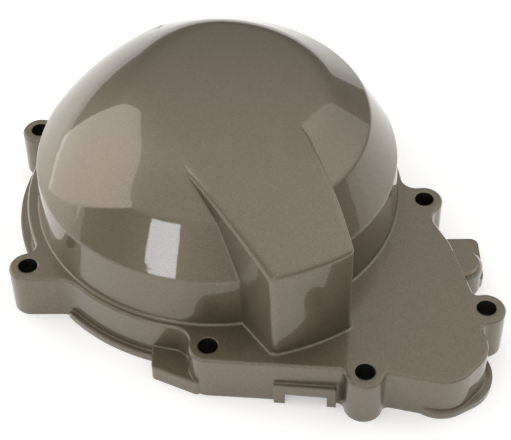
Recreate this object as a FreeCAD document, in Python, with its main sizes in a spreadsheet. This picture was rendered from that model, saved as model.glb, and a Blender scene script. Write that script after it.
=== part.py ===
import FreeCAD, Part
import math
import os

import Sketcher
from FreeCAD import Placement, Rotation, Vector

# Generator cover of a motorcycle crankcase: one aluminium die casting.
# A round domed housing for the flywheel grows out of a flat bolting flange,
# with a wedge-shaped arm for the idle gear and a side pocket for the wiring.
# The model stands on its gasket face; X and Y are measured from the crankshaft.

DIMENSIONS = {
    # Dome: its profile, with heights from the gasket face and drops from the top
    "crown_apex_height": 73.0,
    "crown_radius": 230.0,
    "crown_turn": 60.0,
    "crown_edge_inset": 16.74,
    "crown_blend": 20.0,
    "crease_inset": 10.6,
    "crease_drop": 15.5,
    "crease_round": 2.75,
    "rim_inset": 1.0,
    "rim_height": 39.5,
    "rim_round": 1.8,
    "foot_radius": 68.0,
    "root_bevel": 0.9,
    # Flattened left side of the dome, part of a larger ball
    "facet_radius": 107.0,
    "facet_azimuth": 177.0,
    "facet_offset": 17.8,
    "facet_sink": 99.4,
    "facet_reach": 75.0,
    "facet_turn": 80.0,
    # Arm: a wedge in plan, its top is the crown carried on
    "arm_left_inner_x": -17.8,
    "arm_left_inner_y": -30.1,
    "arm_left_outer_x": 22.9,
    "arm_left_outer_y": -86.8,
    "arm_right_inner_x": 30.2,
    "arm_right_inner_y": -19.0,
    "arm_right_outer_x": 47.9,
    "arm_right_outer_y": -75.0,
    "arm_right_bow_radius": 280.0,
    "arm_end_radius": 84.5,
    "arm_end_lean": 1.2,
    "arm_left_round": 3.5,
    "arm_right_round": 1.5,
    "arm_end_round": 2.0,
    "arm_corner_round": 2.5,
    # Flange
    "deck_height": 19.0,
    "deck_bevel": 0.8,
    "ring_step": 2.4,
    "left_wall_step": 4.8,
    # Bolt bosses: those on the ring by how far they stand off it
    "boss_radius": 6.9,
    "bolt_hole_radius": 3.5,
    "boss_left_front_reach": 8.76,
    "boss_left_front_azimuth": -150.65,
    "boss_front_reach": 7.06,
    "boss_front_azimuth": -92.22,
    "boss_side_reach": 7.92,
    "boss_side_azimuth": -5.2,
    "boss_rear_right_reach": 7.61,
    "boss_rear_right_azimuth": 50.04,
    "boss_rear_reach": 7.58,
    "boss_rear_azimuth": 99.97,
    "boss_left_rear_reach": 9.07,
    "boss_left_rear_azimuth": 153.95,
    "boss_corner_x": 50.5,
    "boss_corner_y": -89.7,
    "boss_right_x": 95.0,
    "boss_right_y": -61.9,
    # Corners of the side pocket, as circles that the wall bends round
    "pocket_front_x": 77.5,
    "pocket_front_y": -83.0,
    "pocket_front_radius": 11.8,
    "pocket_corner_x": 81.5,
    "pocket_corner_y": -78.0,
    "pocket_corner_radius": 12.3,
    "pocket_side_x": 73.7,
    "pocket_side_y": -33.6,
    "pocket_side_radius": 12.3,
    # Hollow side of the walls between the bosses
    "web_rear": 7.7,
    "web_left_rear": 4.2,
    "web_left_front": 3.7,
    "web_front_left": 9.7,
    "web_front_left_azimuth": -136.1,
    "web_front": 6.7,
    "web_corner": 2.7,
    "web_corner_angle": 188.0,
    "web_pocket": 2.0,
    "web_pocket_angle": -18.8,
    "web_right": 3.2,
    "web_neck": 2.2,
    "web_neck_angle": 102.7,
    "web_side": 6.7,
    "web_side_angle": -47.6,
    "web_side_rear": 5.7,
    # Low ledges round the foot of the flange
    "ledge_height": 3.0,
    "left_ledge_radius": 69.0,
    "left_ledge_x": -9.0,
    "left_ledge_y": 8.0,
    "left_ledge_start": 160.0,
    "left_ledge_end": 213.0,
    "front_ledge_step": 2.2,
    "front_ledge_start": 221.0,
    "front_ledge_end": 252.0,
    "pocket_ledge_width": 2.9,
    "pocket_ledge_front": 0.95,
    # Pry tab beside the front boss, and the pad under the arm
    "pry_tab_height": 6.5,
    "pry_tab_left_x": -21.8,
    "pry_tab_left_y": -75.4,
    "pry_tab_right_x": -7.5,
    "pry_tab_right_y": -82.3,
    "pry_tab_corner": 1.5,
    "front_pad_height": 9.5,
    "front_pad_left": 19.5,
    "front_pad_right": 41.0,
    "front_pad_left_reach": 87.8,
    "front_pad_right_reach": 90.3,
    # Bump over the wire clamp and the low foot behind it
    "bump_x": 90.0,
    "bump_y": -33.0,
    "bump_radius": 7.8,
    "bump_height": 12.5,
    "bump_bevel_down": 2.2,
    "bump_bevel_across": 2.2,
    "foot_plate_height": 4.5,
    "foot_plate_right": 98.7,
    "foot_plate_rear": -14.4,
    "foot_plate_corner": 3.0,
    # Hollow inside, with its walls
    "rotor_bore_wall": 5.5,
    "crown_wall": 4.5,
    "crown_edge_wall": 1.8,
    "crease_wall_across": 3.6,
    "crease_wall_down": 3.3,
    "rim_wall_down": 1.5,
    "deck_wall": 4.5,
    "flange_wall": 5.8,
    "boss_column_radius": 8.4,
    "arm_wall": 4.5,
    "pocket_rear_x": 56.0,
    "pocket_rear_y": 8.0,
    "pocket_inner_x": 8.0,
    "pocket_inner_y": -50.0,
    "pocket_left_x": 14.0,
    "pocket_left_y": -74.0,
    "pocket_inner_radius": 3.0,
    # Stator seat in the crown
    "stator_boss_radius": 27.0,
    "stator_recess_radius": 16.0,
    "stator_seat_height": 34.0,
    "stator_recess_drop": 13.0,
    "stator_screw_circle": 21.5,
    "stator_screw_count": 3.0,
    "stator_screw_azimuth": 30.0,
    "stator_screw_radius": 2.5,
    "stator_screw_depth": 14.0,
    "rib_count": 6.0,
    "rib_width": 3.0,
    "rib_foot_drop": 18.0,
    # Wiring notch and dowels
    "notch_left": 23.4,
    "notch_right": 37.9,
    "notch_height": 5.0,
    "dowel_radius": 5.0,
    "dowel_depth": 5.0,
    # How far a cutting shape runs on past what it cuts, and one solid into the next
    "overrun": 110.0,
    "overlap": 4.0,
}

doc = FreeCAD.newDocument("crankcase_cover")
sheet = doc.addObject("Spreadsheet::Sheet", "Dimensions")
for row, (alias, number) in enumerate(DIMENSIONS.items(), start=1):
    sheet.set(f"A{row}", alias)
    sheet.set(f"B{row}", str(number))
    sheet.setAlias(f"B{row}", alias)
doc.recompute()


class Size:
    """A number from the sheet that remembers the expression that gives it."""

    def __init__(self, value, text):
        self.value = value
        self.text = text

    def combine(self, other, sign, value):
        other = other if isinstance(other, Size) else Size(other, str(other))
        return Size(value(self.value, other.value), f"({self.text} {sign} {other.text})")

    def __add__(self, other):
        return self.combine(other, "+", lambda a, b: a + b)

    def __sub__(self, other):
        return self.combine(other, "-", lambda a, b: a - b)

    def __mul__(self, other):
        return self.combine(other, "*", lambda a, b: a * b)

    def __truediv__(self, other):
        return self.combine(other, "/", lambda a, b: a / b)

    def __neg__(self):
        return Size(-self.value, f"(0 - {self.text})")


def size(alias):
    return Size(float(sheet.get(alias)), f"Dimensions.{alias}")


def cosine(angle):
    return Size(math.cos(math.radians(angle.value)), f"cos({angle.text} * 1 deg)")


def sine(angle):
    return Size(math.sin(math.radians(angle.value)), f"sin({angle.text} * 1 deg)")


def root(area):
    return Size(math.sqrt(area.value), f"sqrt({area.text})")


ZERO = Size(0.0, "0")


TOUCHING = 1e-4


class Drawing:
    """A sketch on one of its body's own planes, with every rule tied to the sheet."""

    def __init__(self, body, name, plane, offset=Placement()):
        support = next(item for item in body.Origin.OriginFeatures if item.Role == plane)
        self.sketch = body.newObject("Sketcher::SketchObject", name)
        self.sketch.AttachmentSupport = [(support, "")]
        self.sketch.MapMode = "FlatFace"
        self.sketch.AttachmentOffset = offset
        self.rules = []
        self.bindings = []

    def rule(self, kind, *where, measure=None):
        if measure is None:
            self.rules.append(Sketcher.Constraint(kind, *where))
            return
        self.bindings.append((len(self.rules), measure.text))
        self.rules.append(Sketcher.Constraint(kind, *where, measure.value))

    def pin(self, shape, point, x=None, y=None):
        for kind, axis, place in (("DistanceX", -2, x), ("DistanceY", -1, y)):
            if place is ZERO:
                self.rule("PointOnObject", shape, point, axis)
            elif place is not None:
                self.rule(kind, -1, 1, shape, point, measure=place)

    def line(self, start, end):
        return self.sketch.addGeometry(Part.LineSegment(Vector(*start, 0), Vector(*end, 0)))

    def arc(self, centre, radius, start, end):
        """An arc from start to end, counter-clockwise round its centre."""
        turns = [math.atan2(p[1] - centre[1], p[0] - centre[0]) for p in (start, end)]
        circle = Part.Circle(Vector(*centre, 0), Vector(0, 0, 1), radius)
        return self.sketch.addGeometry(Part.ArcOfCircle(circle, *turns))

    def circle(self, x, y, radius):
        middle = Vector(x.value, y.value, 0)
        shape = self.sketch.addGeometry(Part.Circle(middle, Vector(0, 0, 1), radius.value))
        self.pin(shape, 3, x, y)
        self.rule("Radius", shape, measure=radius)

    def profile(self, corners, arcs=None):
        """A closed outline through the corners; arcs maps a side to radius and turn."""
        arcs = arcs or {}
        sides = []
        for index, corner in enumerate(corners):
            following = corners[(index + 1) % len(corners)]
            start = (corner[0].value, corner[1].value)
            end = (following[0].value, following[1].value)
            if index not in arcs:
                sides.append((self.line(start, end), 1, 2))
                continue
            radius, turn = arcs[index]
            half = math.dist(start, end) / 2
            rise = math.sqrt(radius.value**2 - half**2) * turn
            middle = ((start[0] + end[0]) / 2, (start[1] + end[1]) / 2)
            along = ((end[0] - start[0]) / half / 2, (end[1] - start[1]) / half / 2)
            centre = (middle[0] - rise * along[1], middle[1] + rise * along[0])
            if turn > 0:
                sides.append((self.arc(centre, radius.value, start, end), 1, 2))
            else:
                sides.append((self.arc(centre, radius.value, end, start), 2, 1))
            self.rule("Radius", sides[-1][0], measure=radius)
        for index, (shape, first, last) in enumerate(sides):
            following = sides[(index + 1) % len(sides)]
            self.rule("Coincident", shape, last, following[0], following[1])
            self.pin(shape, first, *corners[index])
        return self.finish()

    def belt(self, bends):
        """A closed outline that runs round the bends like a belt, all joints tangent."""
        count = len(bends)
        leaves = []
        for index, bend in enumerate(bends):
            leaves.append(bend.tangent(bends[(index + 1) % count]))
        shapes = []
        for index, bend in enumerate(bends):
            arrive = leaves[index - 1][1]
            leave = leaves[index][0]
            ends = (arrive, leave) if bend.turn > 0 else (leave, arrive)
            shapes.append(self.arc(bend.centre(), bend.radius.value, *ends))
            self.rule("Radius", shapes[-1], measure=bend.radius)
            self.pin(shapes[-1], 3, *bend.pins)
        for index, bend in enumerate(bends):
            following = bends[(index + 1) % count]
            leave, arrive = leaves[index]
            out_end = (shapes[index], 2 if bend.turn > 0 else 1)
            in_end = (shapes[(index + 1) % count], 1 if following.turn > 0 else 2)
            if math.dist(leave, arrive) < TOUCHING:
                self.rule("Tangent", *out_end, *in_end)
                continue
            straight = self.line(leave, arrive)
            self.rule("Tangent", *out_end, straight, 1)
            self.rule("Tangent", straight, 2, *in_end)
        return self.finish()

    def finish(self):
        self.sketch.addConstraint(self.rules)
        for index, text in self.bindings:
            self.sketch.setExpression(f"Constraints[{index}]", text)
        return self.sketch


class Bend:
    """A circle that an outline bends round: turn is 1 on the outside, -1 on the inside."""

    def __init__(self, x, y, radius, turn=1, pins=None):
        self.x = x
        self.y = y
        self.radius = radius
        self.turn = turn
        self.pins = (x, y) if pins is None else pins

    def centre(self):
        return (self.x.value, self.y.value)

    def tangent(self, other):
        """Where a straight line leaves this bend and where it reaches the other."""
        span = math.dist(self.centre(), other.centre())
        heading = math.atan2(other.y.value - self.y.value, other.x.value - self.x.value)
        own, next_own = self.turn * self.radius.value, other.turn * other.radius.value
        side = heading - math.acos(max(-1.0, min(1.0, (own - next_own) / span)))
        return tuple(
            (bend.x.value + reach * math.cos(side), bend.y.value + reach * math.sin(side))
            for bend, reach in ((self, own), (other, next_own))
        )


def web(before, after, radius):
    """A hollow bend that touches the bends before and after it."""
    reach = before.radius.value + radius.value
    far_reach = after.radius.value + radius.value
    start, end = before.centre(), after.centre()
    span = math.dist(start, end)
    along = (reach**2 - far_reach**2 + span**2) / (2 * span)
    aside = math.sqrt(reach**2 - along**2)
    ux, uy = (end[0] - start[0]) / span, (end[1] - start[1]) / span
    x = start[0] + along * ux + aside * uy
    y = start[1] + along * uy - aside * ux
    return Bend(Size(x, ""), Size(y, ""), radius, turn=-1, pins=(None, None))


def web_at(bend, radius, angle):
    """A hollow bend that touches one bend at an angle round it, then runs straight."""
    reach = bend.radius + radius
    x = bend.x + reach * cosine(angle)
    y = bend.y + reach * sine(angle)
    return Bend(x, y, radius, turn=-1, pins=(x, None))


def new_body(name):
    body = doc.addObject("PartDesign::Body", name)
    body.Label = name
    return body


def revolution(body, name, sketch, kind="PartDesign::Revolution"):
    feature = body.newObject(kind, name)
    feature.Profile = sketch
    feature.ReferenceAxis = (sketch, ["V_Axis"])
    feature.Angle = 360
    sketch.Visibility = False
    doc.recompute()
    return feature


def pad(body, name, sketch, length, kind="PartDesign::Pad", both_ways=False, down=False):
    feature = body.newObject(kind, name)
    feature.Profile = sketch
    feature.setExpression("Length", length.text)
    feature.Midplane = both_ways
    feature.Reversed = down
    doc.recompute()
    return feature


def cut_with(body, name, tool):
    feature = body.newObject("PartDesign::Boolean", name)
    feature.Type = "Cut"
    feature.setObjects([tool])
    doc.recompute()
    return feature


def dress(body, kind, name, edges, amount):
    """Round (Fillet) or bevel (Chamfer) the edges of the body's last feature that the test picks."""
    base = body.Tip
    names = [f"Edge{i}" for i, edge in enumerate(base.Shape.Edges, start=1) if edges(edge)]
    feature = body.newObject(f"PartDesign::{kind}", name)
    feature.Base = (base, names)
    feature.setExpression("Radius" if kind == "Fillet" else "Size", amount.text)
    doc.recompute()
    return feature


def join(body, name, other, kind="Fuse"):
    """Add another body to this one, or cut it away."""
    feature = body.newObject("PartDesign::Boolean", name)
    feature.Type = kind
    feature.setObjects([other])
    doc.recompute()
    return feature


def samples(edge):
    """Five points along an edge, ends included; none for an edge without length."""
    if edge.Degenerated:
        return []
    first, last = edge.ParameterRange
    return [edge.valueAt(first + (last - first) * step / 4) for step in range(5)]


def reach_of(point):
    return math.hypot(point.x, point.y)


def on_circle(radius, height, slack=0.15):
    """A test for edges that run round the crankshaft axis at a radius and a height."""
    def check(edge):
        points = samples(edge)
        return len(points) > 0 and edge.Length > 1 and all(
            abs(reach_of(p) - radius.value) < slack and abs(p.z - height.value) < slack
            for p in points)
    return check


def turned(azimuth, back=0.0):
    """An offset that turns an upright sketch to an azimuth and moves it back along it."""
    turn = math.radians(azimuth)
    origin = Vector(-back * math.cos(turn), 0, back * math.sin(turn))
    return Placement(origin, Rotation(Vector(0, 1, 0), azimuth))


def level(body, name, height):
    """A drawing on the level plane at a height."""
    drawing = Drawing(body, name, "XY_Plane", Placement(Vector(0, 0, height.value), Rotation()))
    drawing.sketch.setExpression("AttachmentOffset.Base.z", height.text)
    return drawing


def ball_height(apex, ball, reach):
    """Height of a ball with its top at the apex, at a distance from the axis."""
    return apex - ball + root(ball * ball - reach * reach)


# Dome: one turned profile, then its left side flattened by a larger ball
apex = size("crown_apex_height")
crown = size("crown_radius")
deck = size("deck_height")
foot = size("foot_radius")
rim = foot - size("rim_inset")
crease = rim - size("crease_inset")
crease_height = apex - size("crease_drop")
crown_edge = crease - size("crown_edge_inset")
overrun = size("overrun")
overlap = size("overlap")
SEAM_TURN = 100.0


def trim_to_ball(body, name, ball, middle, reach, axis_azimuth, turn, both_ways):
    """Cut a body back to a ball, turned round a level axis through the ball's middle."""
    x, y, height = middle
    place = Placement(
        Vector(x.value, height.value, -y.value), Rotation(Vector(0, 1, 0), axis_azimuth))
    drawing = Drawing(body, name + "_profile", "XZ_Plane", place)
    for axis, distance in (("x", x), ("y", height), ("z", -y)):
        drawing.sketch.setExpression(f"AttachmentOffset.Base.{axis}", distance.text)
    shoulder = root(ball * ball - reach * reach)
    drawing.profile(
        [(-reach, shoulder), (reach, shoulder), (reach, ball + overrun), (-reach, ball + overrun)],
        {0: (ball, -1)},
    )
    doc.recompute()
    groove = body.newObject("PartDesign::Groove", name)
    groove.Profile = drawing.sketch
    groove.ReferenceAxis = (drawing.sketch, ["H_Axis"])
    groove.Midplane = both_ways
    groove.setExpression("Angle", turn.text)
    doc.recompute()


def trim_to_crown(body, name, inset=ZERO):
    """Cut a body back to the crown's ball, or to one that lies inside it by a wall."""
    middle = (ZERO, ZERO, apex - crown)
    trim_to_ball(body, name, crown - inset, middle, overrun, 0.0, size("crown_turn"), True)


def trim_to_facet(body, name, inset=ZERO):
    """Cut the left side of a body back to a larger ball that lies off the axis."""
    azimuth = size("facet_azimuth")
    offset = -size("facet_offset")
    middle = (offset * cosine(azimuth), offset * sine(azimuth), apex - size("facet_sink"))
    trim_to_ball(
        body, name, size("facet_radius") - inset, middle, size("facet_reach"),
        azimuth.value + 90.0, size("facet_turn"), False)


def cone_tip(edge, edge_height, foot_reach, foot_height):
    """A point on the cone's line, half as far again past its upper edge."""
    return edge * 1.5 - foot_reach * 0.5, edge_height * 1.5 - foot_height * 0.5


casting = new_body("generator_cover_casting")
dome_tip = cone_tip(crown_edge, ball_height(apex, crown, crown_edge), crease, crease_height)
dome = Drawing(casting, "dome_profile", "XZ_Plane", turned(SEAM_TURN))
dome.profile(
    [
        (ZERO, deck - overlap),
        (foot + size("root_bevel"), deck - overlap),
        (foot + size("root_bevel"), deck),
        (foot, deck + size("root_bevel")),
        (rim, size("rim_height")),
        (crease, crease_height),
        dome_tip,
        (ZERO, dome_tip[1]),
    ]
)
doc.recompute()
revolution(casting, "dome", dome.sketch)
trim_to_crown(casting, "crown")
dress(casting, "Fillet", "crown_blend",
      on_circle(crown_edge, ball_height(apex, crown, crown_edge)), size("crown_blend"))


trim_to_facet(casting, "flattened_side")
facet = size("facet_radius")
facet_turn = math.radians(size("facet_azimuth").value)
facet_middle = Vector(
    -size("facet_offset").value * math.cos(facet_turn),
    -size("facet_offset").value * math.sin(facet_turn),
    apex.value - size("facet_sink").value)
at_crease = on_circle(crease, crease_height)
at_rim = on_circle(rim, size("rim_height"), slack=1.0)


def on_facet_side(edge):
    """The lower edges of the flattened side, between the rim and the crease."""
    points = samples(edge)
    return len(points) > 0 and all(
        abs((p - facet_middle).Length - facet.value) < 0.1
        and size("rim_height").value - 2 < p.z < crease_height.value + 0.2
        for p in points)


dress(casting, "Fillet", "crease_round",
      lambda edge: at_crease(edge) or (on_facet_side(edge) and not at_rim(edge)),
      size("crease_round"))
dress(casting, "Fillet", "rim_round", at_rim, size("rim_round"))

# Arm: its plan raised, its top the crown's own ball, its end a cone round the crankshaft
arm_block = new_body("arm_block")
arm_plan = level(arm_block, "arm_plan", deck - overlap)
arm_plan.profile(
    [
        (size("arm_left_inner_x"), size("arm_left_inner_y")),
        (size("arm_left_outer_x"), size("arm_left_outer_y")),
        (size("arm_right_outer_x"), size("arm_right_outer_y")),
        (size("arm_right_inner_x"), size("arm_right_inner_y")),
    ],
    {2: (size("arm_right_bow_radius"), 1)},
)
doc.recompute()
pad(arm_block, "arm_walls", arm_plan.sketch, overrun)
trim_to_crown(arm_block, "arm_crown")
arm_end = size("arm_end_radius")
arm_top_end = arm_end - size("arm_end_lean")
arm_trim = Drawing(arm_block, "arm_end_profile", "XZ_Plane", turned(SEAM_TURN))
arm_trim.profile(
    [
        (arm_end, ZERO),
        (overrun, ZERO),
        (overrun, apex + overlap),
        (arm_top_end, apex + overlap),
    ]
)
doc.recompute()
revolution(arm_block, "arm_end", arm_trim.sketch, "PartDesign::Groove")


def arm_round(edge):
    """How far an edge of the arm is rounded, or None where it stays as it is."""
    points = samples(edge)
    middle = points[2]
    on_top = all(
        abs(p.z - ball_height(apex, crown, Size(reach_of(p), "")).value) < 0.1 for p in points)
    if reach_of(middle) > arm_top_end.value - 0.1:
        if on_top:
            return size("arm_end_round")
        return size("arm_corner_round") if abs(points[0].z - points[4].z) > deck.value else None
    if not on_top or reach_of(middle) < crown_edge.value:
        return None
    end_x = size("arm_left_outer_x") + size("arm_right_outer_x")
    end_y = size("arm_left_outer_y") + size("arm_right_outer_y")
    is_left = end_x.value * middle.y - end_y.value * middle.x < 0
    return size("arm_left_round") if is_left else size("arm_right_round")


arm_rounds = doc.addObject("Part::Fillet", "arm_rounds")
arm_rounds.Base = arm_block
arm_radii = [arm_round(edge) for edge in arm_block.Shape.Edges]
arm_rounds.Edges = [
    (index, radius.value, radius.value)
    for index, radius in enumerate(arm_radii, start=1) if radius is not None]
doc.recompute()
arm = new_body("arm")
arm.BaseFeature = arm_rounds
doc.recompute()
join(casting, "dome_and_arm", arm)

# Flange: one outline round the bolt bosses, the ring and the side pocket
boss_radius = size("boss_radius")
ring = foot + size("ring_step")


def at_azimuth(reach, azimuth):
    return reach * cosine(azimuth), reach * sine(azimuth)


def ring_boss(place):
    """A boss that stands off the ring."""
    spot = at_azimuth(ring + size(f"boss_{place}_reach"), size(f"boss_{place}_azimuth"))
    return Bend(*spot, boss_radius)


def boss(place):
    return Bend(size(f"boss_{place}_x"), size(f"boss_{place}_y"), boss_radius)


def pocket_bend(place, inset=ZERO):
    """A corner of the side pocket, drawn in by a wall."""
    name = f"pocket_{place}"
    return Bend(size(f"{name}_x"), size(f"{name}_y"), size(f"{name}_radius") - inset)


def ring_wall():
    return Bend(ZERO, ZERO, ring)


left_wall = Bend(ZERO, ZERO, foot + size("left_wall_step"))
corner, right, side = boss("corner"), boss("right"), ring_boss("side")
rear_right, rear, left_rear = ring_boss("rear_right"), ring_boss("rear"), ring_boss("left_rear")
left_front, front = ring_boss("left_front"), ring_boss("front")
pocket_front, pocket_corner = pocket_bend("front"), pocket_bend("corner")
pocket_side = pocket_bend("side")

flange = new_body("flange")
outline = level(flange, "flange_outline", deck)
outline.belt(
    [
        corner,
        web_at(corner, size("web_pocket"), size("web_pocket_angle")),
        pocket_front,
        pocket_corner,
        web(pocket_corner, right, size("web_right")),
        right,
        web_at(right, size("web_neck"), size("web_neck_angle")),
        pocket_side,
        web_at(side, size("web_side"), size("web_side_angle")),
        side,
        web(side, ring_wall(), size("web_side_rear")),
        ring_wall(),
        web(ring_wall(), rear_right, size("web_rear")),
        rear_right,
        web(rear_right, ring_wall(), size("web_rear")),
        ring_wall(),
        web(ring_wall(), rear, size("web_rear")),
        rear,
        web(rear, ring_wall(), size("web_rear")),
        ring_wall(),
        web(ring_wall(), left_rear, size("web_rear")),
        left_rear,
        web(left_rear, left_wall, size("web_left_rear")),
        left_wall,
        web(left_wall, left_front, size("web_left_front")),
        left_front,
        web_at(ring_wall(), size("web_front_left"), size("web_front_left_azimuth")),
        ring_wall(),
        web(ring_wall(), front, size("web_front")),
        front,
        web_at(corner, size("web_corner"), size("web_corner_angle")),
    ]
)
doc.recompute()
pad(flange, "flange_plate", outline.sketch, deck, down=True)
dress(flange, "Chamfer", "deck_bevel",
      lambda edge: all(abs(p.z - deck.value) < 0.01 for p in samples(edge)), size("deck_bevel"))


# Low ledges at the gasket face, each a plan shape buried in the flange
def ledge(name, x, y, radius):
    """A slice of a disc between two azimuths, raised to the ledges' height."""
    drawing = Drawing(flange, name + "_plan", "XY_Plane")
    tips = [at_azimuth(radius, size(f"{name}_{limit}")) for limit in ("start", "end")]
    drawing.profile([(x, y), *[(x + tip[0], y + tip[1]) for tip in tips]], {1: (radius, 1)})
    pad(flange, name, drawing.sketch, size("ledge_height"))


ledge("left_ledge", size("left_ledge_x"), size("left_ledge_y"), size("left_ledge_radius"))
ledge("front_ledge", ZERO, ZERO, ring + size("front_ledge_step"))
pocket_ledge = Drawing(flange, "pocket_ledge_plan", "XY_Plane")
pocket_ledge.belt(
    [
        pocket_bend("front", -size("pocket_ledge_front")),
        pocket_bend("corner", -size("pocket_ledge_width")),
        Bend(
            size("pocket_side_x"),
            size("pocket_front_y") + size("pocket_side_radius"),
            size("pocket_side_radius")),
    ]
)
pad(flange, "pocket_ledge", pocket_ledge.sketch, size("ledge_height"))

# Pry tab beside the front boss and pad under the arm
tab_root = -foot
tab = Drawing(flange, "pry_tab_plan", "XY_Plane")
tab.belt(
    [
        Bend(size("pry_tab_left_x"), size("pry_tab_left_y"), size("pry_tab_corner")),
        Bend(size("pry_tab_right_x"), size("pry_tab_right_y"), size("pry_tab_corner")),
        Bend(size("pry_tab_right_x"), tab_root, size("pry_tab_corner")),
        Bend(size("pry_tab_left_x"), tab_root + overlap, size("pry_tab_corner")),
    ]
)
pad(flange, "pry_tab", tab.sketch, size("pry_tab_height"))
front_pad = Drawing(flange, "front_pad_plan", "XY_Plane")
front_pad.profile(
    [
        (size("front_pad_left"), -size("front_pad_left_reach")),
        (size("front_pad_right"), -size("front_pad_right_reach")),
        (size("front_pad_right"), overlap - arm_end),
        (size("front_pad_left"), overlap - arm_end),
    ]
)
pad(flange, "front_pad", front_pad.sketch, size("front_pad_height"))

# Bump over the wire clamp, its top bevelled, and the low foot plate behind it
bump_place = Placement(Vector(size("bump_x").value, 0, -size("bump_y").value), Rotation())
bump = Drawing(flange, "bump_profile", "XZ_Plane", bump_place)
bump.sketch.setExpression("AttachmentOffset.Base.x", size("bump_x").text)
bump.sketch.setExpression("AttachmentOffset.Base.z", (-size("bump_y")).text)
bump.profile(
    [
        (ZERO, ZERO),
        (size("bump_radius"), ZERO),
        (size("bump_radius"), size("bump_height") - size("bump_bevel_down")),
        (size("bump_radius") - size("bump_bevel_across"), size("bump_height")),
        (ZERO, size("bump_height")),
    ]
)
doc.recompute()
revolution(flange, "bump", bump.sketch)
plate_corner = size("foot_plate_corner")
plate_x = size("foot_plate_right") - plate_corner
plate_rear = size("foot_plate_rear") - plate_corner
foot_plate = Drawing(flange, "foot_plate_plan", "XY_Plane")
foot_plate.belt(
    [
        Bend(plate_x, size("bump_y"), plate_corner),
        Bend(plate_x, plate_rear, plate_corner),
        Bend(size("pocket_side_x"), plate_rear, plate_corner),
        Bend(size("pocket_side_x"), size("bump_y"), plate_corner),
    ]
)
pad(flange, "foot_plate", foot_plate.sketch, size("foot_plate_height"))
join(casting, "dome_on_flange", flange)


def at_arm_root(edge):
    """The edges where the arm's walls stand on the deck."""
    points = samples(edge)
    return len(points) > 0 and all(
        abs(p.z - deck.value) < 0.01
        and foot.value + size("root_bevel").value - 0.1 < reach_of(p) < arm_end.value
        and math.radians(-84) < math.atan2(p.y, p.x) < math.radians(-50) for p in points)


dress(casting, "Chamfer", "arm_root_bevel", at_arm_root, size("root_bevel"))

# Hollow for the flywheel: bore, cone and crown inside the dome, round the stator seat
core = new_body("flywheel_core")
ceiling = apex - size("crown_wall")
inner_edge = crown_edge - size("crown_edge_wall")
inner_crease = (crease - size("crease_wall_across"), crease_height - size("crease_wall_down"))
core_tip = cone_tip(
    inner_edge, ball_height(ceiling, crown - size("crown_wall"), inner_edge), *inner_crease)
rotor_bore = foot - size("rotor_bore_wall")
stator_boss = size("stator_boss_radius")
seat_height = size("stator_seat_height")
recess = size("stator_recess_radius")
core_profile = Drawing(core, "core_profile", "XZ_Plane")
core_profile.profile(
    [
        (ZERO, -overlap),
        (rotor_bore, -overlap),
        (rotor_bore, size("rim_height") - size("rim_wall_down")),
        inner_crease,
        core_tip,
        (stator_boss, core_tip[1]),
        (stator_boss, seat_height),
        (recess, seat_height),
        (recess, apex - size("stator_recess_drop")),
        (ZERO, apex - size("stator_recess_drop")),
    ]
)
doc.recompute()
revolution(core, "core_block", core_profile.sketch)
trim_to_crown(core, "core_crown", size("crown_wall"))
trim_to_facet(core, "core_flattened_side", size("crown_wall"))
rib_plan = level(core, "rib_plan", apex - size("rib_foot_drop"))
half_rib = size("rib_width") / 2.0
rib_plan.profile(
    [
        (recess + half_rib, -half_rib),
        (rotor_bore, -half_rib),
        (rotor_bore, half_rib),
        (recess + half_rib, half_rib),
    ]
)
doc.recompute()
rib = pad(core, "rib_slot", rib_plan.sketch, overrun, "PartDesign::Pocket", down=True)
ribs = core.newObject("PartDesign::PolarPattern", "rib_slots")
ribs.Originals = [rib]
upright_axis = next(item for item in core.Origin.OriginFeatures if item.Role == "Z_Axis")
ribs.Axis = (upright_axis, [""])
ribs.Angle = 360
ribs.setExpression("Occurrences", size("rib_count").text)
core.Tip = ribs
doc.recompute()
join(casting, "flywheel_hollow", core, "Cut")

# Hollow under the deck, with the corner boss's column left standing
wall = size("flange_wall")
inner_radius = size("pocket_inner_radius")
pocket = Drawing(casting, "pocket_plan", "XY_Plane")
pocket.belt(
    [
        Bend(corner.x, corner.y, size("boss_column_radius"), turn=-1),
        pocket_bend("front", wall),
        pocket_bend("corner", wall),
        pocket_bend("side", wall),
        Bend(size("pocket_rear_x"), size("pocket_rear_y"), inner_radius),
        Bend(size("pocket_inner_x"), size("pocket_inner_y"), inner_radius),
        Bend(size("pocket_left_x"), size("pocket_left_y"), inner_radius),
    ]
)
pad(casting, "deck_pocket", pocket.sketch, deck - size("deck_wall"), "PartDesign::Pocket", down=True)

# Arm hollow: the arm drawn in by its wall, under the crown's ball drawn in the same way
arm_core = new_body("arm_core")
arm_wall = size("arm_wall")
arm_core_plan = Drawing(arm_core, "arm_core_plan", "XY_Plane")
arm_core_plan.profile(
    [
        (size("arm_left_inner_x") + arm_wall, size("arm_left_inner_y")),
        (size("arm_left_outer_x") + arm_wall, size("arm_left_outer_y")),
        (size("arm_right_outer_x") - arm_wall, size("arm_right_outer_y")),
        (size("arm_right_inner_x") - arm_wall, size("arm_right_inner_y")),
    ],
    {2: (size("arm_right_bow_radius"), 1)},
)
doc.recompute()
pad(arm_core, "arm_core_block", arm_core_plan.sketch, overrun)
trim_to_crown(arm_core, "arm_core_crown", size("crown_wall"))
arm_core_end = Drawing(arm_core, "arm_core_end_profile", "XZ_Plane", turned(SEAM_TURN))
arm_core_end.profile(
    [
        (arm_end - arm_wall, -overlap),
        (overrun, -overlap),
        (overrun, apex + overlap),
        (arm_top_end - arm_wall, apex + overlap),
    ]
)
doc.recompute()
revolution(arm_core, "arm_core_end", arm_core_end.sketch, "PartDesign::Groove")
stator_gap = Drawing(arm_core, "stator_gap_plan", "XY_Plane")
stator_gap.circle(ZERO, ZERO, stator_boss)
stator_gap.finish()
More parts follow.
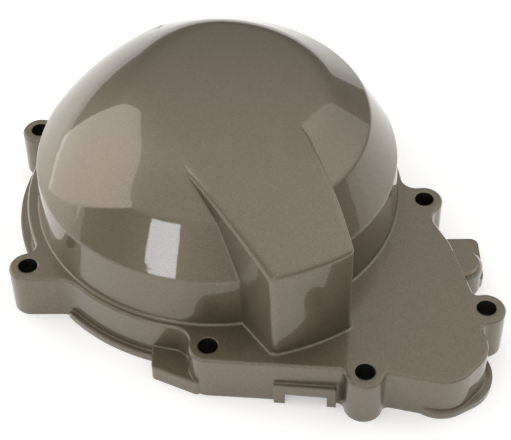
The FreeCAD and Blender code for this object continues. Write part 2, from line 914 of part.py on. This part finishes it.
pad(arm_core, "stator_gap", stator_gap.sketch, overrun * 2.0, "PartDesign::Pocket", both_ways=True)
join(casting, "arm_hollow", arm_core, "Cut")


# Holes, each set drawn on one level plane
def drill(name, places, radius, length, height=ZERO, both_ways=False, down=False):
    drawing = level(casting, name + "_plan", height)
    for x, y in places:
        drawing.circle(x, y, radius)
    drawing.finish()
    pad(casting, name, drawing.sketch, length, "PartDesign::Pocket", both_ways, down)


bolts = [corner, right, side, rear_right, rear, left_rear, left_front, front]
drill("bolt_holes", [(bolt.x, bolt.y) for bolt in bolts], size("bolt_hole_radius"), overrun, both_ways=True)
drill("dowel_bores", [(right.x, right.y), (left_rear.x, left_rear.y)],
      size("dowel_radius"), size("dowel_depth"), down=True)
screw_count = size("stator_screw_count")
screw_turns = [
    size("stator_screw_azimuth") + Size(360.0 * index, str(360 * index)) / screw_count
    for index in range(int(screw_count.value))]
drill("stator_screws", [at_azimuth(size("stator_screw_circle"), turn) for turn in screw_turns],
      size("stator_screw_radius"), size("stator_screw_depth"), seat_height, down=True)
notch = Drawing(casting, "notch_plan", "XY_Plane")
notch.profile(
    [
        (size("notch_left"), -overrun),
        (size("notch_right"), -overrun),
        (size("notch_right"), overlap * 2.0 - arm_end),
        (size("notch_left"), overlap * 2.0 - arm_end),
    ]
)
pad(casting, "wiring_notch", notch.sketch, size("notch_height"), "PartDesign::Pocket", down=True)

# The part stands on its gasket face with the middle of its box over the origin
for item in doc.Objects:
    if "Invalid" in item.State or "Error" in item.State:
        raise RuntimeError(f"{item.Name} failed: {item.State}")
box = casting.Shape.optimalBoundingBox(False)
casting.Placement = Placement(
    Vector(-(box.XMin + box.XMax) / 2, -(box.YMin + box.YMax) / 2, -box.ZMin), Rotation())
doc.recompute()
shape = casting.Shape
if shape.isNull() or not shape.isValid() or len(shape.Solids) != 1:
    raise RuntimeError("the casting is not one valid solid")
os.makedirs("parts", exist_ok=True)
shape.exportStep(f"parts/{casting.Label}.step")
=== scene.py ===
import math

import bmesh
import bpy
from mathutils import Matrix, Vector
from mathutils.bvhtree import BVHTree


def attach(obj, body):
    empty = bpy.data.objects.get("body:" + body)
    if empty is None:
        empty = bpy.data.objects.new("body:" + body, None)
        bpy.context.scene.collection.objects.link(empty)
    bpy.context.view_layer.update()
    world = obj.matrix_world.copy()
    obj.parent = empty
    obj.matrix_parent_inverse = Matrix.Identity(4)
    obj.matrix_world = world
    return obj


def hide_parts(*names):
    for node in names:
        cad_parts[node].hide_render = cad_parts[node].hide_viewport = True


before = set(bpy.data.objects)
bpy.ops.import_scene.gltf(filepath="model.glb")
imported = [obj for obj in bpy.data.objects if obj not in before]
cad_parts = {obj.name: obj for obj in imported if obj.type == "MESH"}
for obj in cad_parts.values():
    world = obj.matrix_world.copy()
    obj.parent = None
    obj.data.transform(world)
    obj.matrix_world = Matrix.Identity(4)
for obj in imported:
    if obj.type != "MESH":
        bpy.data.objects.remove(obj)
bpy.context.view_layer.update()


# The casting's form: one aluminium die casting. It stands for the CAD casting and keeps its
# faces, but each narrow bevel is shaded as the soft rounding that the die leaves along an
# edge or in a root, running from one neighbour's slope to the other's.
SAME_PLACE = 0.000002
BEVEL_SLOPE = math.sqrt(0.5)
BEVEL_SLACK = 0.03
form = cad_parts["generator_cover_casting"].data
slopes = [corner.vector.copy() for corner in form.corner_normals]


def place_of(vertex):
    """A vertex's place as a key that vertices welded to it share."""
    return tuple(round(value / SAME_PLACE) for value in form.vertices[vertex].co)


skin_of = list(range(len(form.vertices)))


def skin_at(vertex):
    """The smooth skin of the casting that a vertex belongs to."""
    while skin_of[vertex] != vertex:
        skin_of[vertex] = skin_of[skin_of[vertex]]
        vertex = skin_of[vertex]
    return vertex


for facet in form.polygons:
    for vertex in facet.vertices[1:]:
        skin_of[skin_at(vertex)] = skin_at(facet.vertices[0])

not_bevels = {
    skin_at(facet.vertices[0])
    for facet in form.polygons
    for corner in facet.loop_indices
    if abs(slopes[corner].z - BEVEL_SLOPE) > BEVEL_SLACK
}
slopes_beside = {}
for facet in form.polygons:
    if skin_at(facet.vertices[0]) in not_bevels:
        for corner, vertex in zip(facet.loop_indices, facet.vertices):
            place = place_of(vertex)
            slopes_beside[place] = slopes_beside.get(place, Vector()) + slopes[corner]

places, points, facets, facet_slopes = {}, [], [], []
for facet in form.polygons:
    outline = []
    for vertex in facet.vertices:
        place = place_of(vertex)
        if place not in places:
            places[place] = len(points)
            points.append(form.vertices[vertex].co.copy())
        outline.append(places[place])
    if len(set(outline)) < len(outline):
        continue
    facets.append(outline)
    rounded = skin_at(facet.vertices[0]) not in not_bevels
    for corner, vertex in zip(facet.loop_indices, facet.vertices):
        beside = slopes_beside.get(place_of(vertex)) if rounded else None
        facet_slopes.append(beside.normalized() if beside else slopes[corner])

casting_mesh = bpy.data.meshes.new("cover_casting")
casting_mesh.from_pydata(points, [], facets)
kept_slopes = casting_mesh.attributes.new("slope", "FLOAT_VECTOR", "CORNER")
kept_slopes.data.foreach_set("vector", [value for slope in facet_slopes for value in slope])

# The fold between the crown and the flattened left side is a broad soft one on the real
# cover: here the two are run into each other over a band, and the band gets fine facets.
# Heights and distances from the crank's axis describe the crown, its blend and the flank.
CRANK_AXIS = Vector((-0.011801633, 0.006448806, 0.0))
APEX = 0.073
CROWN_BALL = 0.230
CROWN_EDGE = (0.03966, 0.069555)
CREASE = (0.0564, 0.0575)
CROWN_BLEND = 0.020
FACET_MIDDLE = Vector((0.017775605, -0.000931580, -0.0264))
FACET_BALL = 0.107
FOLD_SOFTNESS = 0.0026
FOLD_MARGIN = 0.0012
FINEST_EDGE = 0.0022
MOST_HALVINGS = 6
TESTED_SHARES = (0.0, 0.25, 0.5, 0.75, 1.0)
LOWEST_SOFT = 0.0592
ON_THE_DOME = 0.00006
DEEPEST_FACET = 0.0008
SLOPE_STEP = 0.00005
LEAST_RISE = 0.5


def blend_circle():
    """The middle of the arc that joins the crown to the flank, and where the arc's ends lie."""
    run, fall = CREASE[0] - CROWN_EDGE[0], CREASE[1] - CROWN_EDGE[1]
    length = math.hypot(run, fall)
    along_x, along_z = run / length, fall / length
    out_x, out_z = -along_z, along_x
    ball_z = APEX - CROWN_BALL
    base_x, base_z = CREASE[0] - out_x * CROWN_BLEND, CREASE[1] - out_z * CROWN_BLEND
    half = base_x * along_x + (base_z - ball_z) * along_z
    rest = base_x ** 2 + (base_z - ball_z) ** 2 - (CROWN_BALL - CROWN_BLEND) ** 2
    root = math.sqrt(half * half - rest)
    step = min((root - half, -root - half), key=abs)
    middle_x, middle_z = base_x + along_x * step, base_z + along_z * step
    start = middle_x * CROWN_BALL / (CROWN_BALL - CROWN_BLEND)
    return middle_x, middle_z, start, middle_x + out_x * CROWN_BLEND


blend_x, blend_z, blend_start, blend_end = blend_circle()
flank_fall = (CREASE[1] - CROWN_EDGE[1]) / (CREASE[0] - CROWN_EDGE[0])


def dome_height(x, y):
    """The height of the round dome: its crown, then the blend, then the flank."""
    reach = math.hypot(x, y)
    if reach < blend_start:
        return APEX - CROWN_BALL + math.sqrt(CROWN_BALL ** 2 - reach ** 2)
    if reach < blend_end:
        return blend_z + math.sqrt(CROWN_BLEND ** 2 - (reach - blend_x) ** 2)
    return CREASE[1] + (reach - CREASE[0]) * flank_fall


def facet_height(x, y):
    """The height of the larger ball that flattens the dome's left side."""
    rest = FACET_BALL ** 2 - (x - FACET_MIDDLE.x) ** 2 - (y - FACET_MIDDLE.y) ** 2
    return FACET_MIDDLE.z + math.sqrt(max(rest, 0.0))


def hard_height(x, y):
    """The height of the dome's top as it is in the CAD."""
    return min(dome_height(x, y), facet_height(x, y))


def soft_height(x, y):
    """The height of the dome's top with the fold made soft."""
    dome, facet = dome_height(x, y), facet_height(x, y)
    near = max(FOLD_SOFTNESS - abs(dome - facet), 0.0)
    return min(dome, facet) - near * near / (4 * FOLD_SOFTNESS)


def soft_slope(x, y):
    """The normal of the softened top."""
    return Vector((
        soft_height(x - SLOPE_STEP, y) - soft_height(x + SLOPE_STEP, y),
        soft_height(x, y - SLOPE_STEP) - soft_height(x, y + SLOPE_STEP),
        2 * SLOPE_STEP)).normalized()


def on_dome_top(point):
    x, y, z = point - CRANK_AXIS
    return z > LOWEST_SOFT and abs(z - hard_height(x, y)) < ON_THE_DOME


def near_fold(point):
    x, y, z = point - CRANK_AXIS
    return abs(dome_height(x, y) - facet_height(x, y)) < FOLD_SOFTNESS + FOLD_MARGIN


fine = bmesh.new()
fine.from_mesh(casting_mesh)
for halving in range(MOST_HALVINGS):
    long_edges = []
    for edge in fine.edges:
        first, last = (corner.co for corner in edge.verts)
        if edge.calc_length() < FINEST_EDGE or not (on_dome_top(first) and on_dome_top(last)):
            continue
        if any(near_fold(first.lerp(last, share)) for share in TESTED_SHARES):
            long_edges.append(edge)
    if not long_edges:
        break
    bmesh.ops.subdivide_edges(fine, edges=long_edges, cuts=1, use_grid_fill=False)
    bmesh.ops.triangulate(fine, faces=[face for face in fine.faces if len(face.verts) > 3])
    for corner in fine.verts:
        x, y, z = corner.co - CRANK_AXIS
        height = hard_height(x, y)
        if z > LOWEST_SOFT and 0 < height - z < DEEPEST_FACET and near_fold(corner.co):
            corner.co.z = height
fine.to_mesh(casting_mesh)
fine.free()

slopes_now = [Vector(slope.vector) for slope in casting_mesh.attributes["slope"].data]
for facet in casting_mesh.polygons:
    for corner, vertex in zip(facet.loop_indices, facet.vertices):
        point = casting_mesh.vertices[vertex].co
        if on_dome_top(point) and facet.normal.z > LEAST_RISE:
            x, y, z = point - CRANK_AXIS
            slopes_now[corner] = soft_slope(x, y)
for corner in casting_mesh.vertices:
    if on_dome_top(corner.co) and near_fold(corner.co):
        x, y, z = corner.co - CRANK_AXIS
        corner.co.z = soft_height(x, y)
casting_mesh.attributes.remove(casting_mesh.attributes["slope"])
casting_mesh.shade_smooth()
casting_mesh.normals_split_custom_set([slope.normalized() for slope in slopes_now])

casting = bpy.data.objects.new("cover_casting", casting_mesh)
bpy.context.scene.collection.objects.link(casting)
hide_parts("generator_cover_casting")
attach(casting, "root")


# The outside of the casting: sprayed with a bronze metallic paint of fine flakes, under
# two coats of clear lacquer that stay a little wavy like the skin of an orange.
PAINT_DARK = (0.132, 0.108, 0.071, 1.0)
PAINT_LIGHT = (0.218, 0.181, 0.124, 1.0)
FLAKES_PER_METRE = 3600.0
PEEL_PER_METRE = 420.0
EDGE_SOFTNESS = 0.0011


def new_material(name):
    """An empty material, with its tree of nodes and its outlet."""
    material = bpy.data.materials.new(name)
    material.use_nodes = True
    tree = material.node_tree
    tree.nodes.clear()
    return material, tree, tree.nodes.new("ShaderNodeOutputMaterial")


def node_of(tree, kind, **sockets):
    """A node with the given sockets set; a word's _ stands for the space in its name."""
    node = tree.nodes.new(kind)
    for name, value in sockets.items():
        node.inputs[name.replace("_", " ")].default_value = value
    return node


def grain(tree, per_metre, detail=2.0):
    """Even noise through the metal, fixed to the part."""
    place = tree.nodes.new("ShaderNodeTexCoord")
    noise = node_of(tree, "ShaderNodeTexNoise", Scale=per_metre, Detail=detail)
    tree.links.new(place.outputs["Object"], noise.inputs["Vector"])
    return noise.outputs["Fac"]


def tones(tree, level, low, dark, high, light):
    """A colour that runs from dark to light as the level goes from low to high."""
    ramp = tree.nodes.new("ShaderNodeValToRGB")
    ramp.color_ramp.elements[0].position = low
    ramp.color_ramp.elements[0].color = dark
    ramp.color_ramp.elements[1].position = high
    ramp.color_ramp.elements[1].color = light
    tree.links.new(level, ramp.inputs["Fac"])
    return ramp.outputs["Color"]


def relief(tree, height, strength, depth, base=None):
    """A slope from a height, laid over the base slope."""
    bump = node_of(tree, "ShaderNodeBump", Strength=strength, Distance=depth)
    tree.links.new(height, bump.inputs["Height"])
    if base:
        tree.links.new(base, bump.inputs["Normal"])
    return bump.outputs["Normal"]


paint, tree, out = new_material("bronze_metallic_paint")
shell = node_of(
    tree, "ShaderNodeBsdfPrincipled", Metallic=0.9, Roughness=0.5,
    Coat_Weight=1.0, Coat_Roughness=0.03, Coat_IOR=1.5)
soft_edge = node_of(tree, "ShaderNodeBevel", Radius=EDGE_SOFTNESS)
soft_edge.samples = 6
flakes = tones(
    tree, grain(tree, FLAKES_PER_METRE), low=0.35, dark=PAINT_DARK, high=0.70, light=PAINT_LIGHT)
peel = relief(
    tree, grain(tree, PEEL_PER_METRE, detail=1.0), strength=0.03, depth=0.0003,
    base=soft_edge.outputs["Normal"])
tree.links.new(flakes, shell.inputs["Base Color"])
tree.links.new(soft_edge.outputs["Normal"], shell.inputs["Normal"])
tree.links.new(peel, shell.inputs["Coat Normal"])
tree.links.new(shell.outputs["BSDF"], out.inputs["Surface"])
casting_mesh.materials.append(paint)


# The inside of the casting: bare aluminium as it comes out of the die, dull grey with a
# fine rough skin. The paint stops at the rim, because the inside is masked.
CAST_DARK = (0.30, 0.30, 0.295, 1.0)
CAST_LIGHT = (0.46, 0.46, 0.455, 1.0)
CLOUDS_PER_METRE = 90.0
SKIN_PER_METRE = 1500.0

raw, tree, out = new_material("as_cast_aluminium")
shell = node_of(tree, "ShaderNodeBsdfPrincipled", Metallic=0.8, Roughness=0.55)
clouds = tones(
    tree, grain(tree, CLOUDS_PER_METRE, detail=6.0),
    low=0.35, dark=CAST_DARK, high=0.65, light=CAST_LIGHT)
skin = relief(tree, grain(tree, SKIN_PER_METRE, detail=3.0), strength=0.5, depth=0.0001)
tree.links.new(clouds, shell.inputs["Base Color"])
tree.links.new(skin, shell.inputs["Normal"])
tree.links.new(shell.outputs["BSDF"], out.inputs["Surface"])
casting_mesh.materials.append(raw)


# The machined faces: the gasket face, the stator seat and the two dowel bores are milled
# bright after painting, and keep the fine arcs of the cutter.
MILLED_DARK = (0.62, 0.62, 0.615, 1.0)
MILLED_LIGHT = (0.78, 0.78, 0.775, 1.0)
CUTS_PER_METRE = 500.0
CUTTER_MIDDLE = (0.16, 0.05, 0.0)

milled, tree, out = new_material("milled_aluminium")
shell = node_of(tree, "ShaderNodeBsdfPrincipled", Metallic=1.0, Roughness=0.28)
place = tree.nodes.new("ShaderNodeTexCoord")
shift = node_of(tree, "ShaderNodeMapping", Location=CUTTER_MIDDLE)
arcs = node_of(tree, "ShaderNodeTexWave", Scale=CUTS_PER_METRE, Distortion=1.0)
arcs.wave_type = "RINGS"
arcs.rings_direction = "Z"
cuts = tones(
    tree, arcs.outputs["Fac"], low=0.0, dark=MILLED_DARK, high=1.0, light=MILLED_LIGHT)
ridges = relief(tree, arcs.outputs["Fac"], strength=0.2, depth=0.00002)
tree.links.new(place.outputs["Object"], shift.inputs["Vector"])
tree.links.new(shift.outputs["Vector"], arcs.inputs["Vector"])
tree.links.new(cuts, shell.inputs["Base Color"])
tree.links.new(ridges, shell.inputs["Normal"])
tree.links.new(shell.outputs["BSDF"], out.inputs["Surface"])
casting_mesh.materials.append(milled)


# The bolt holes: eight holes drilled right through the casting. The drill cuts the paint
# away, and their bare walls are coloured near-black as painted shade for the deep holes' darkness.
BOLT_HOLES = (
    (-0.0690, -0.0388), (-0.0030, -0.0774), (0.0505, -0.0897), (0.0950, -0.0619),
    (0.0780, -0.0071), (-0.0714, 0.0349), (0.0501, 0.0598), (-0.0135, 0.0768))
BOLT_HOLE_WALL = 0.0037
# Near-black colours: painted shade standing in for the darkness inside the deep holes.
HOLE_SHADE_DARK = (0.010, 0.009, 0.008, 1.0)
HOLE_SHADE_LIGHT = (0.030, 0.027, 0.023, 1.0)
HOLE_SHADE_MOTTLE_PER_METRE = 700.0

shaded_hole_material, tree, out = new_material("painted_shade_drilled_aluminium")
shell = node_of(tree, "ShaderNodeBsdfPrincipled", Metallic=0.5, Roughness=0.6)
hole_shade_mottle = tones(
    tree, grain(tree, HOLE_SHADE_MOTTLE_PER_METRE, detail=3.0),
    low=0.35, dark=HOLE_SHADE_DARK, high=0.65, light=HOLE_SHADE_LIGHT)
tree.links.new(hole_shade_mottle, shell.inputs["Base Color"])
tree.links.new(shell.outputs["BSDF"], out.inputs["Surface"])
casting_mesh.materials.append(shaded_hole_material)

# A facet is milled in a milled plane or a dowel bore, drilled in a bolt hole, painted where
# some way of spraying from above or from the side reaches it, and bare everywhere else.
# The two dowel bores are wider bores round the lower ends of two bolt holes.
PAINTED, BARE, MILLED, DRILLED = range(4)
MILLED_HEIGHTS = (0.0, 0.034)
DOWEL_BORES = ((0.0950, -0.0619), (-0.0714, 0.0349))
DOWEL_BORE_WALL = 0.0052
DOWEL_BORE_TOP = 0.0051
OFF_THE_FACE = 0.00003
FACES_DOWN = -0.99
UPRIGHT = 0.1
SPRAY_SINES = (0.2, 0.45, 0.7, 0.9, 0.99)
SPRAY_TURNS = 12
LEAST_SPRAY = 0.05

spray_ways = []
for sine in SPRAY_SINES:
    level = math.sqrt(1 - sine * sine)
    for turn in range(SPRAY_TURNS):
        angle = math.tau * turn / SPRAY_TURNS
        spray_ways.append(Vector((level * math.cos(angle), level * math.sin(angle), sine)))
points = [corner.co.copy() for corner in casting_mesh.vertices]
metal = BVHTree.FromPolygons(points, [tuple(facet.vertices) for facet in casting_mesh.polygons])


def in_hole(facet, axes, wall):
    """Whether all of a facet lies within the wall of one of the holes."""
    corners = [points[vertex] - CRANK_AXIS for vertex in facet.vertices]
    return any(
        all(math.hypot(corner.x - x, corner.y - y) < wall for corner in corners)
        for x, y in axes)


def is_sprayed(facet):
    """Whether some way of spraying reaches the middle of a facet."""
    start = facet.center + facet.normal * OFF_THE_FACE
    return any(
        way.dot(facet.normal) > LEAST_SPRAY and metal.ray_cast(start, way)[0] is None
        for way in spray_ways)


def finish_of(facet):
    """Which of the casting's finishes a facet has."""
    off_plane = min(abs(facet.center.z - height) for height in MILLED_HEIGHTS)
    if facet.normal.z < FACES_DOWN and off_plane < OFF_THE_FACE:
        return MILLED
    if facet.center.z < DOWEL_BORE_TOP and in_hole(facet, DOWEL_BORES, DOWEL_BORE_WALL):
        return MILLED
    if abs(facet.normal.z) < UPRIGHT and in_hole(facet, BOLT_HOLES, BOLT_HOLE_WALL):
        return DRILLED
    return PAINTED if is_sprayed(facet) else BARE


for facet in casting_mesh.polygons:
    facet.material_index = finish_of(facet)


# The table: a white sheet that the cover stands on. It keeps the soft shadow round the
# cover, and runs out into plain white. It lies just under the gasket face, and can't be
# seen from below.
TABLE_SIZE = 24.0
TABLE_DROP = 0.0002
SHEET_WHITE = (0.82, 0.82, 0.82, 1.0)
SHEET_GLOW = 0.34
PLAIN_WHITE = (1.0, 1.0, 1.0, 1.0)
SHADE_ENDS = (0.5, 1.2)

half = TABLE_SIZE / 2
table_mesh = bpy.data.meshes.new("table_sheet")
table_mesh.from_pydata(
    [(x, y, -TABLE_DROP) for x, y in ((-half, -half), (half, -half), (half, half), (-half, half))],
    [], [(0, 1, 2, 3)])
table = bpy.data.objects.new("table_sheet", table_mesh)
bpy.context.scene.collection.objects.link(table)


def larger_of(tree, first, second):
    """The larger of two numbers."""
    larger = tree.nodes.new("ShaderNodeMath")
    larger.operation = "MAXIMUM"
    tree.links.new(first, larger.inputs[0])
    tree.links.new(second, larger.inputs[1])
    return larger.outputs[0]


def mix(tree, share, first, second):
    """A shader that goes from the first to the second as the share goes from 0 to 1."""
    mixed = tree.nodes.new("ShaderNodeMixShader")
    tree.links.new(share, mixed.inputs["Fac"])
    tree.links.new(first, mixed.inputs[1])
    tree.links.new(second, mixed.inputs[2])
    return mixed.outputs[0]


sheet, tree, out = new_material("white_sheet")
matt = node_of(tree, "ShaderNodeBsdfDiffuse", Color=SHEET_WHITE)
glow = node_of(tree, "ShaderNodeEmission", Color=PLAIN_WHITE, Strength=SHEET_GLOW)
plain = node_of(tree, "ShaderNodeEmission", Color=PLAIN_WHITE, Strength=1.0)
clear = tree.nodes.new("ShaderNodeBsdfTransparent")
lit = tree.nodes.new("ShaderNodeAddShader")
tree.links.new(matt.outputs[0], lit.inputs[0])
tree.links.new(glow.outputs[0], lit.inputs[1])

light_path = tree.nodes.new("ShaderNodeLightPath")
looked_at = larger_of(
    tree,
    larger_of(tree, light_path.outputs["Is Camera Ray"], light_path.outputs["Is Glossy Ray"]),
    light_path.outputs["Is Transmission Ray"])

place = tree.nodes.new("ShaderNodeTexCoord")
reach = tree.nodes.new("ShaderNodeVectorMath")
reach.operation = "LENGTH"
far_out = node_of(
    tree, "ShaderNodeMapRange", From_Min=SHADE_ENDS[0], From_Max=SHADE_ENDS[1])
far_out.interpolation_type = "SMOOTHSTEP"
tree.links.new(place.outputs["Object"], reach.inputs[0])
tree.links.new(reach.outputs["Value"], far_out.inputs["Value"])

from_below = tree.nodes.new("ShaderNodeNewGeometry")
white_out = mix(tree, far_out.outputs["Result"], lit.outputs[0], plain.outputs[0])
seen = mix(tree, looked_at, matt.outputs[0], white_out)
one_sided = mix(tree, from_below.outputs["Backfacing"], seen, clear.outputs[0])
tree.links.new(one_sided, out.inputs["Surface"])
table_mesh.materials.append(sheet)


# The studio's light: a pale room, a wide soft box on the left, weaker ones on the right and
# behind the camera, and a small window behind the camera's left shoulder.
CEILING_TONE = (0.98, 0.965, 0.935, 1.0)
WALL_TONE = (0.10, 0.10, 0.105, 1.0)
WALL_TOP = 0.20
CEILING_START = 0.88
ROOM_LEVEL = 1.12
LIT_POINT = CRANK_AXIS + Vector((0.0, 0.0, 0.04))

world = bpy.data.worlds.new("pale_room")
world.use_nodes = True
tree = world.node_tree
room_way = tree.nodes.new("ShaderNodeTexCoord")
room_rise = tree.nodes.new("ShaderNodeSeparateXYZ")
tree.links.new(room_way.outputs["Generated"], room_rise.inputs["Vector"])
room_tones = tones(
    tree, room_rise.outputs["Z"],
    low=WALL_TOP, dark=WALL_TONE, high=CEILING_START, light=CEILING_TONE)
room = tree.nodes["Background"]
room.inputs["Strength"].default_value = ROOM_LEVEL
tree.links.new(room_tones, room.inputs["Color"])
bpy.context.scene.world = world


def soft_box(name, azimuth, rise, distance, width, height, glow, tint):
    """A lamp that shines at the cover from an azimuth, counted from straight behind it
    towards its right, and a rise, both in degrees; glow is how bright its face is."""
    turn, lift = math.radians(azimuth), math.radians(rise)
    away = Vector((
        math.sin(turn) * math.cos(lift), math.cos(turn) * math.cos(lift), math.sin(lift)))
    lamp = bpy.data.lights.new(name, "AREA")
    lamp.shape = "RECTANGLE"
    lamp.size, lamp.size_y = width, height
    lamp.energy = glow * math.pi * width * height
    lamp.color = tint
    box = bpy.data.objects.new(name, lamp)
    box.location = LIT_POINT + away * distance
    box.rotation_euler = away.to_track_quat("Z", "Y").to_euler()
    bpy.context.scene.collection.objects.link(box)


soft_box(
    "left_soft_box", azimuth=-71.0, rise=21.0, distance=0.95,
    width=0.90, height=0.80, glow=1.85, tint=(1.0, 0.96, 0.89))
soft_box(
    "right_soft_box", azimuth=75.0, rise=35.0, distance=0.95,
    width=0.90, height=0.80, glow=0.78, tint=(1.0, 0.98, 0.95))
soft_box(
    "front_soft_box", azimuth=180.0, rise=20.0, distance=1.6,
    width=2.0, height=0.9, glow=0.42, tint=(1.0, 0.95, 0.97))
soft_box(
    "window", azimuth=-148.5, rise=13.0, distance=1.4,
    width=0.44, height=0.16, glow=9.5, tint=(0.88, 0.91, 1.0))


# The camera: stands in front of the cover and looks down on it from the angle of the
# photograph.
LENS_MM = 101.71
SENSOR_MM = 36.0
CAMERA_PLACE = (0.0021784, -0.3884012, 0.40494)
CAMERA_PITCH = math.radians(45.61)
CAMERA_ROLL = math.radians(-0.738)

view = bpy.data.cameras.new("photo_camera")
view.lens = LENS_MM
view.sensor_width = SENSOR_MM
camera = bpy.data.objects.new("photo_camera", view)
level_right = Vector((1, 0, 0))
level_up = Vector((0, math.sin(CAMERA_PITCH), math.cos(CAMERA_PITCH)))
right = level_right * math.cos(CAMERA_ROLL) + level_up * math.sin(CAMERA_ROLL)
up = level_up * math.cos(CAMERA_ROLL) - level_right * math.sin(CAMERA_ROLL)
turned = Matrix((right, up, right.cross(up))).transposed().to_4x4()
camera.matrix_world = Matrix.Translation(CAMERA_PLACE) @ turned
bpy.context.scene.collection.objects.link(camera)
bpy.context.scene.camera = camera
bpy.context.scene.view_settings.view_transform = "Standard"
